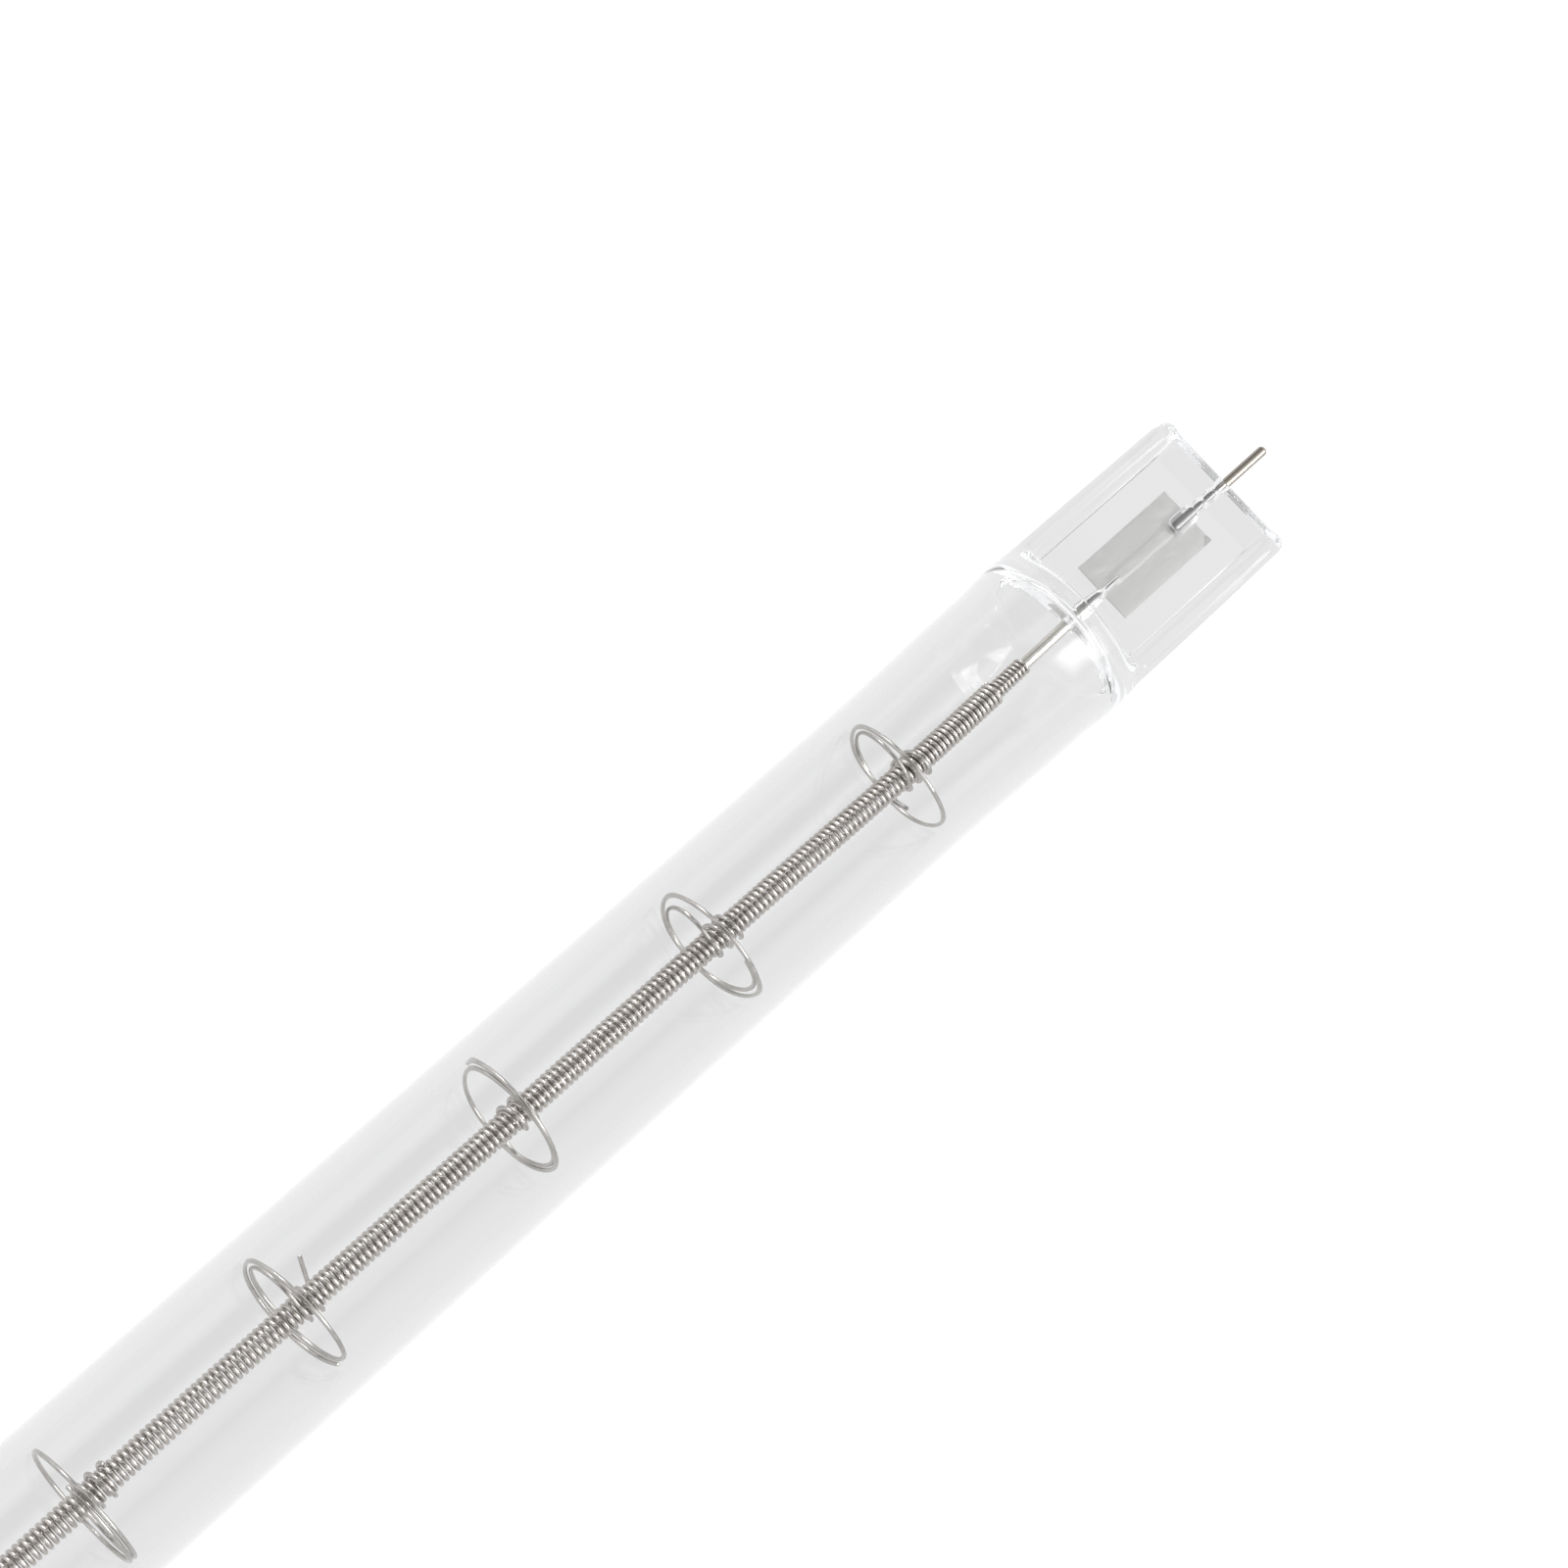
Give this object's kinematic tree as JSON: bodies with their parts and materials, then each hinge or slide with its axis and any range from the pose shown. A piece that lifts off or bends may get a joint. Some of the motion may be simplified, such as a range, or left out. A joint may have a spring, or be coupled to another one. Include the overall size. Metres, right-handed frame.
{
  "type": "quartz heating tube",
  "caption": "Clear double-ended quartz heating tube with flat pinch seals, foil seals, contact pins and a long tungsten coil on wire supports.",
  "frame": {"origin": "centre of the tube, on its axis, halfway between the two pin tips", "axes": "+X along the tube towards the end that the picture shows; +Z square to the flat pinch seals; +Y across the seals"},
  "size_m": [0.212, 0.0108, 0.01],
  "materials": {
    "quartz": "clear fire-polished quartz",
    "tungsten": "drawn tungsten wire",
    "pin_molybdenum": "drawn molybdenum rod, rounded tip",
    "foil_molybdenum": "matt rolled molybdenum foil",
    "lead_molybdenum": "bright drawn rod",
    "support_wire": "bright drawn wire"
  },
  "bodies": {
    "root": {"quartz_envelope": "quartz", "filament_coil": "tungsten", "contact_pin_right": "pin_molybdenum", "contact_pin_left": "pin_molybdenum", "foil_right": "foil_molybdenum", "foil_left": "foil_molybdenum", "inner_lead_right": "lead_molybdenum", "inner_lead_left": "lead_molybdenum", "spud_coil_right": "tungsten", "spud_coil_left": "tungsten", "support_01": "support_wire", "support_02": "support_wire", "support_03": "support_wire", "support_04": "support_wire", "support_05": "support_wire", "support_06": "support_wire", "support_07": "support_wire", "support_08": "support_wire", "support_09": "support_wire", "support_10": "support_wire", "support_11": "support_wire"}
  },
  "joints": []
}
